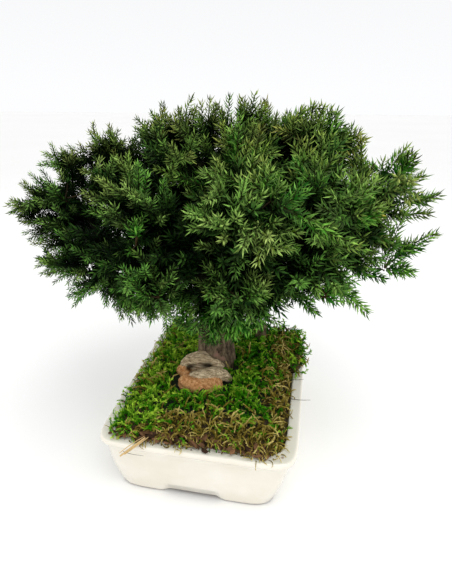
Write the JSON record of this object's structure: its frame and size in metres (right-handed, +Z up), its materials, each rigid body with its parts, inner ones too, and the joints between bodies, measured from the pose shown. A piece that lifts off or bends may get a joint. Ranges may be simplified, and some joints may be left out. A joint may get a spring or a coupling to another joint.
{
  "type": "juniper bonsai in a pot",
  "caption": "Juniper bonsai with a broad rounded crown of needle sprays, in a white glazed rectangular pot with moss and weathered root wood.",
  "frame": {"origin": "under the middle of the plant's bounding box, on the surface that the pot's feet stand on", "axes": "+X along the pot's short side and the wide way of the tree, +Y to the back along the pot's long side, +Z up"},
  "size_m": [0.3088, 0.2328, 0.2732],
  "materials": {
    "pot_glaze": "gloss",
    "screen_plastic": "matte",
    "soil_grain": "matte",
    "moss_green": "matte",
    "moss_brown": "matte",
    "straw_yellow": "matte",
    "dead_wood": "matte",
    "bark": "matte",
    "juniper_needles": "satin"
  },
  "bodies": {
    "root": {"pot": "pot_glaze", "drain_screen_1": "screen_plastic", "drain_screen_2": "screen_plastic", "soil": "soil_grain", "moss_fresh": "moss_green", "moss_dry": "moss_brown", "straw": "straw_yellow", "root_burl": "dead_wood", "root_stub": "dead_wood", "trunk": "bark", "spray_01": "juniper_needles", "spray_02": "juniper_needles", "spray_03": "juniper_needles", "spray_04": "juniper_needles", "spray_05": "juniper_needles", "spray_06": "juniper_needles", "spray_07": "juniper_needles", "spray_08": "juniper_needles", "spray_09": "juniper_needles", "spray_10": "juniper_needles", "spray_11": "juniper_needles", "spray_12": "juniper_needles", "spray_13": "juniper_needles", "spray_14": "juniper_needles", "spray_15": "juniper_needles", "spray_16": "juniper_needles", "spray_17": "juniper_needles", "spray_18": "juniper_needles", "spray_19": "juniper_needles", "spray_20": "juniper_needles", "spray_21": "juniper_needles", "spray_22": "juniper_needles", "spray_23": "juniper_needles", "spray_24": "juniper_needles", "spray_25": "juniper_needles", "spray_26": "juniper_needles", "spray_27": "juniper_needles", "spray_28": "juniper_needles", "spray_29": "juniper_needles", "spray_30": "juniper_needles", "spray_31": "juniper_needles", "spray_32": "juniper_needles", "spray_33": "juniper_needles", "spray_34": "juniper_needles", "spray_35": "juniper_needles", "spray_36": "juniper_needles", "spray_37": "juniper_needles", "spray_38": "juniper_needles"}
  },
  "joints": []
}
